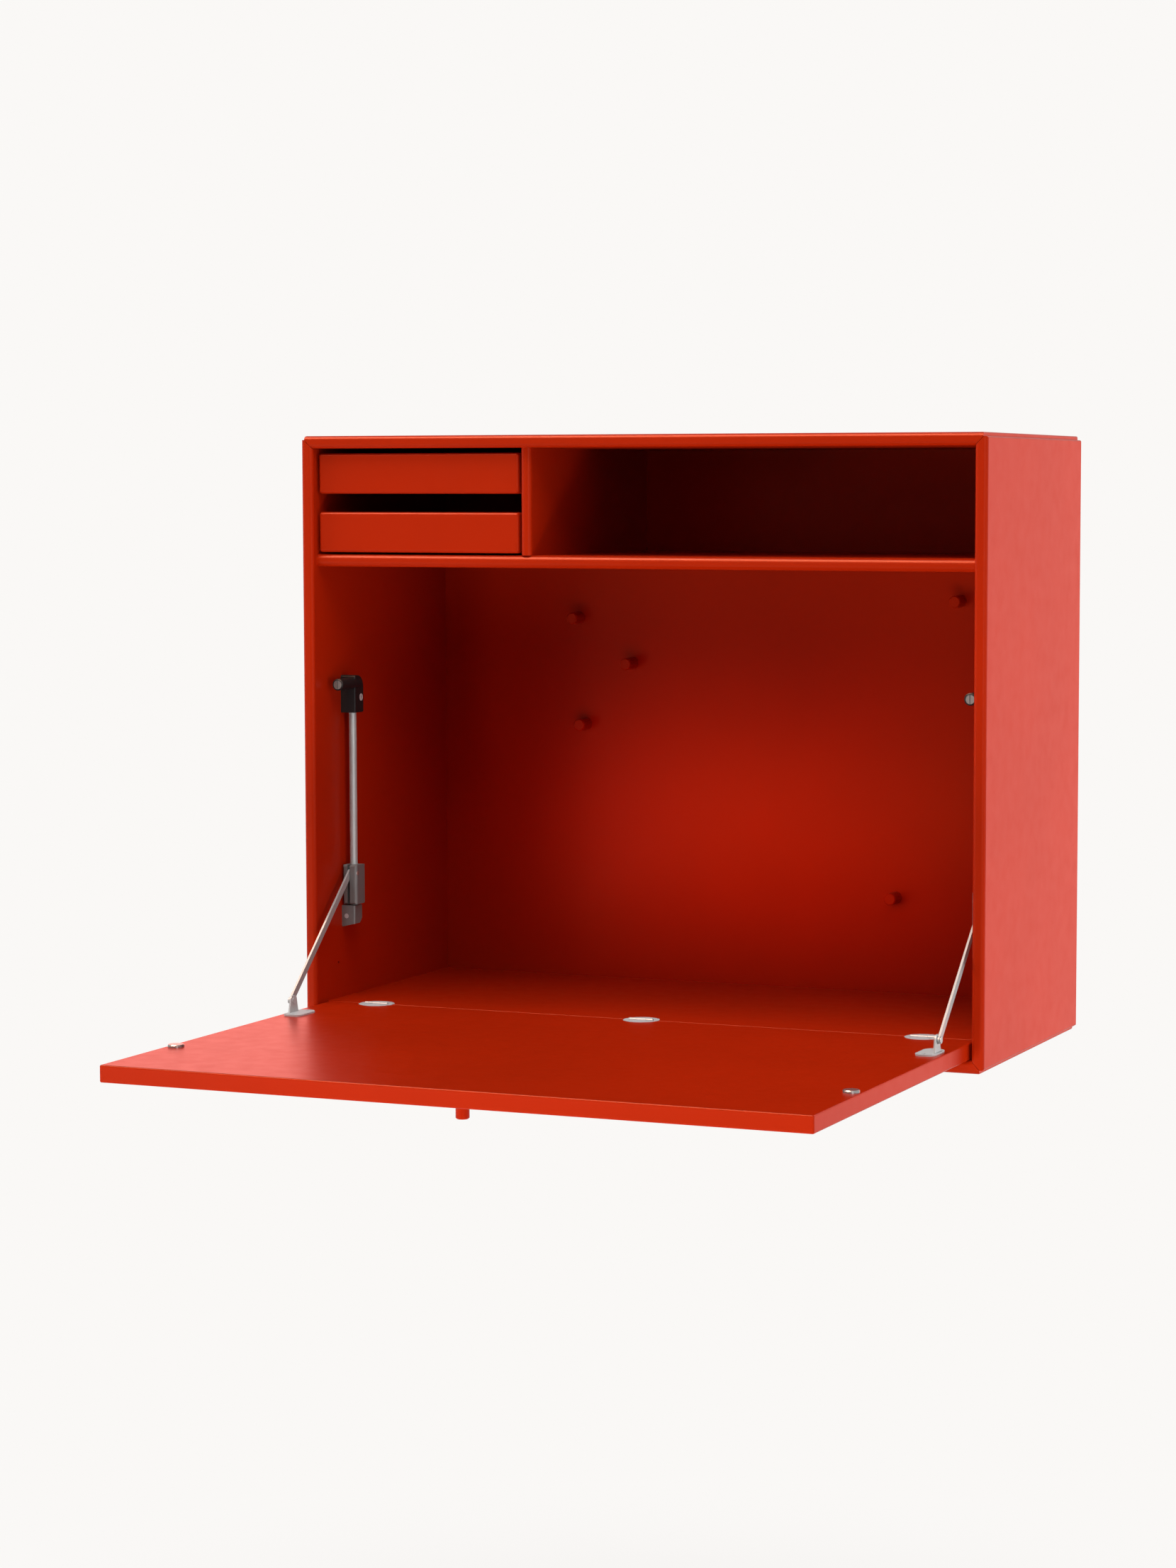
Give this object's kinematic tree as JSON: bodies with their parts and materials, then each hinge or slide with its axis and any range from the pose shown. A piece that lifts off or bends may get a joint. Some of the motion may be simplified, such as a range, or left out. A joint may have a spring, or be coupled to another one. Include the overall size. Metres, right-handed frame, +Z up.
{
  "type": "fold down wall desk",
  "caption": "Wall-hung box desk whose front flap folds down on flush hinges and rod stays, with a shelf, small drawers and pegs above the desk top.",
  "frame": {"origin": "midway between the two wall screw holes, in the wall plane", "axes": "+X to the right seen from the front, +Y into the wall, +Z up"},
  "size_m": [0.696, 0.703, 0.5857],
  "materials": {
    "red_lacquer": "satin orange-red lacquer on board",
    "drawer_lacquer": "satin orange-red lacquer on board",
    "beech": "plain, unfinished",
    "steel": "brushed",
    "polished_rod": "polished",
    "grey_casting": "satin, die cast",
    "black_plastic": "matte moulded",
    "dark_steel": "satin",
    "grey_plastic": "smooth",
    "magnet": "satin"
  },
  "bodies": {
    "cabinet": {"top_panel": "red_lacquer", "bottom_panel": "red_lacquer", "left_side_panel": "red_lacquer", "right_side_panel": "red_lacquer", "back_panel": "red_lacquer", "shelf": "red_lacquer", "divider": "red_lacquer", "desk_floor": "red_lacquer", "back_pegs": "red_lacquer", "shelf_dowels": "beech", "divider_dowels": "beech", "left_runners": "beech", "right_runners": "beech", "wall_plates": "steel", "wall_plate_screws": "steel", "hinge_floor_leaves": "steel", "hinge_pins": "steel", "hinge_floor_screws": "steel", "left_stay_rod": "polished_rod", "left_stay_housing": "black_plastic", "left_stay_catch": "black_plastic", "left_catch_magnet": "magnet", "left_stay_foot": "grey_casting", "left_stay_screws": "steel", "right_stay_rod": "polished_rod", "right_stay_housing": "black_plastic", "right_stay_catch": "black_plastic", "right_catch_magnet": "magnet", "right_stay_foot": "grey_casting", "right_stay_screws": "steel"},
    "flap": {"flap_panel": "red_lacquer", "flap_pull": "red_lacquer", "hinge_flap_leaves": "steel", "hinge_flap_screws": "steel", "strike_discs": "dark_steel", "bracket_screws": "steel", "left_flap_bracket": "steel", "left_bracket_rivet": "steel", "right_flap_bracket": "steel", "right_bracket_rivet": "steel"},
    "left_slider": {"left_slider": "grey_casting", "left_slider_bush": "grey_plastic", "left_slider_rivets": "steel"},
    "right_slider": {"right_slider": "grey_casting", "right_slider_bush": "grey_plastic", "right_slider_rivets": "steel"},
    "left_arm": {"left_stay_arm": "steel"},
    "right_arm": {"right_stay_arm": "steel"},
    "lower_drawer": {"lower_drawer_front": "red_lacquer", "lower_drawer_left_side": "drawer_lacquer", "lower_drawer_right_side": "drawer_lacquer", "lower_drawer_back": "drawer_lacquer", "lower_drawer_bottom": "drawer_lacquer"},
    "upper_drawer": {"upper_drawer_front": "red_lacquer", "upper_drawer_left_side": "drawer_lacquer", "upper_drawer_right_side": "drawer_lacquer", "upper_drawer_back": "drawer_lacquer", "upper_drawer_bottom": "drawer_lacquer"}
  },
  "joints": [
    {"name": "flap_hinge", "type": "hinge", "parent": "cabinet", "child": "flap", "pos_m": [0, -0.276, -0.517], "axis": [-1, 0, 0], "range_deg": [0, 90]},
    {"name": "left_arm_pivot", "type": "hinge", "parent": "flap", "child": "left_arm", "pos_m": [-0.328, -0.366, -0.5045], "axis": [-1, 0, 0], "range_deg": [-130.78, 0]},
    {"name": "left_slider_travel", "type": "slide", "parent": "cabinet", "child": "left_slider", "axis": [0, 0, 1], "range_m": [0, 0.1304]},
    {"name": "right_arm_pivot", "type": "hinge", "parent": "flap", "child": "right_arm", "pos_m": [0.328, -0.366, -0.5045], "axis": [-1, 0, 0], "range_deg": [-130.78, 0]},
    {"name": "right_slider_travel", "type": "slide", "parent": "cabinet", "child": "right_slider", "axis": [0, 0, 1], "range_m": [0, 0.1304]},
    {"name": "lower_drawer_slide", "type": "slide", "parent": "cabinet", "child": "lower_drawer", "axis": [0, -1, 0], "range_m": [0, 0.2]},
    {"name": "upper_drawer_slide", "type": "slide", "parent": "cabinet", "child": "upper_drawer", "axis": [0, -1, 0], "range_m": [0, 0.2]}
  ],
  "couplings": [
    {"joint": "left_arm_pivot", "follows": "flap_hinge", "ratio": -1.453},
    {"joint": "left_slider_travel", "follows": "flap_hinge", "m_per_rad": 0.082957},
    {"joint": "right_arm_pivot", "follows": "flap_hinge", "ratio": -1.453},
    {"joint": "right_slider_travel", "follows": "flap_hinge", "m_per_rad": 0.082957}
  ]
}
